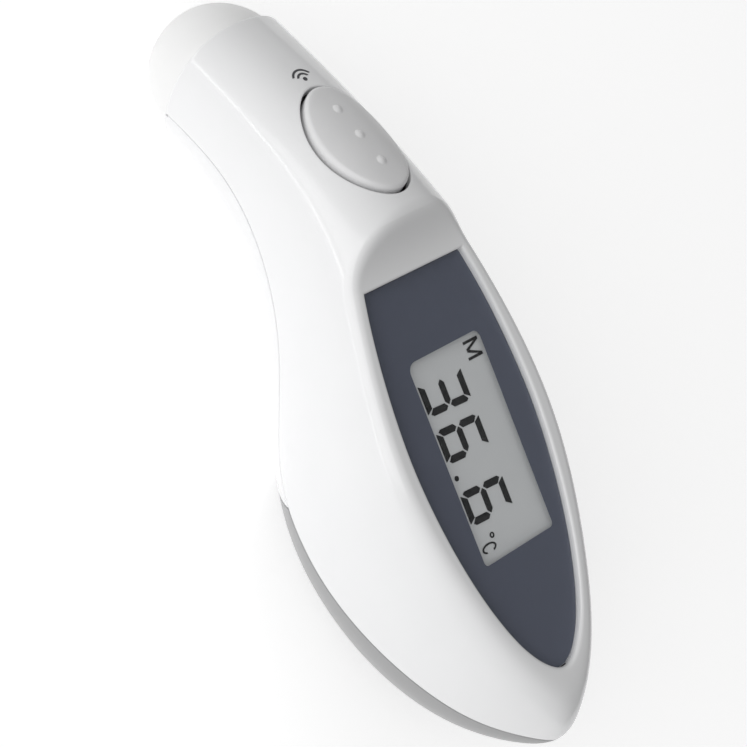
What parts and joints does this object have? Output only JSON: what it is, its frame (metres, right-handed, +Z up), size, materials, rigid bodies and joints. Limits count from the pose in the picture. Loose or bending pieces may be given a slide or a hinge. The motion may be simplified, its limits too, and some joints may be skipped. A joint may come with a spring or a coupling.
{
  "type": "infrared thermometer",
  "caption": "Handheld infrared thermometer with a curved body, domed probe cap, oval scan button, leaf-shaped display panel and a grey battery cover.",
  "frame": {"origin": "centre of the small flat resting land on the battery cover, where the body touches the surface it lies on", "axes": "+Z up, +Y along the body towards the probe, +X to the right seen from above with the probe pointing away"},
  "size_m": [0.0464, 0.1415, 0.0468],
  "materials": {
    "shell_white": "glossy",
    "cover_grey": "satin gloss",
    "button_grey": "satin gloss",
    "cap_white": "satin",
    "print_bluegrey": "glossy",
    "clear_panel": "clear",
    "lcd_glass": "clear",
    "lcd_grey": "satin",
    "lcd_dark": "matte",
    "frame_white": "matte",
    "zebra": "matte",
    "pcb_green": "satin",
    "chip_black": "matte",
    "tinned": "satin",
    "ceramic": "matte",
    "black_plastic": "satin",
    "socket_ivory": "matte",
    "gold": "polished",
    "alu": "satin",
    "seal_black": "matte",
    "filter_dark": "coated",
    "cell_jacket": "glossy",
    "steel": "polished",
    "wire_red": "satin",
    "wire_blue": "satin",
    "wire_black": "satin",
    "print_dark": "matte"
  },
  "bodies": {
    "housing": {"front_shell": "shell_white", "rear_shell": "shell_white", "probe_base": "cap_white", "waveguide": "gold", "tip_window": "filter_dark", "sensor_can": "tinned", "sensor_window": "filter_dark", "sensor_pins": "gold", "sensor_holder": "alu", "sensor_seal": "seal_black", "sensor_board": "pcb_green", "display_panel": "clear_panel", "panel_print": "print_bluegrey", "lcd_front_glass": "lcd_glass", "lcd_segments": "lcd_dark", "lcd_rear_glass": "lcd_grey", "lcd_frame": "frame_white", "zebra_strips": "zebra", "main_pcb": "pcb_green", "pcb_screws": "steel", "microcontroller": "chip_black", "controller_leads": "tinned", "memory_chip": "chip_black", "crystal": "tinned", "resistors": "chip_black", "capacitors": "ceramic", "buzzer": "black_plastic", "wire_sockets": "socket_ivory", "switch_body": "black_plastic", "switch_plate": "tinned", "switch_board": "pcb_green", "switch_screws": "steel", "battery_tray": "black_plastic", "tray_screws": "steel", "battery_cells": "cell_jacket", "cell_terminals": "steel", "contact_springs": "steel", "spring_plates": "steel", "contact_plates": "steel", "shell_screws": "steel", "sensor_wires": "wire_red", "switch_wires": "wire_blue", "battery_wires": "wire_black", "scan_mark": "print_dark"},
    "cap": {"probe_cap": "cap_white"},
    "cover": {"battery_cover": "cover_grey"},
    "button": {"scan_button": "button_grey"},
    "plunger": {"switch_plunger": "black_plastic"}
  },
  "joints": [
    {"name": "cap_pull", "type": "slide", "parent": "housing", "child": "cap", "axis": [0, 0.7799, -0.6259], "range_m": [0, 0.03], "stiffness_N_per_m": 400},
    {"name": "cover_slide", "type": "slide", "parent": "housing", "child": "cover", "axis": [0, -0.9161, -0.401], "range_m": [0, 0.07]},
    {"name": "button_press", "type": "slide", "parent": "housing", "child": "button", "axis": [0, -0.484, -0.875], "range_m": [0, 0.0005], "stiffness_N_per_m": 3000},
    {"name": "plunger_press", "type": "slide", "parent": "housing", "child": "plunger", "axis": [0, -0.484, -0.875], "range_m": [0, 0.0005]}
  ],
  "couplings": [
    {"joint": "plunger_press", "follows": "button_press", "ratio": 1}
  ]
}
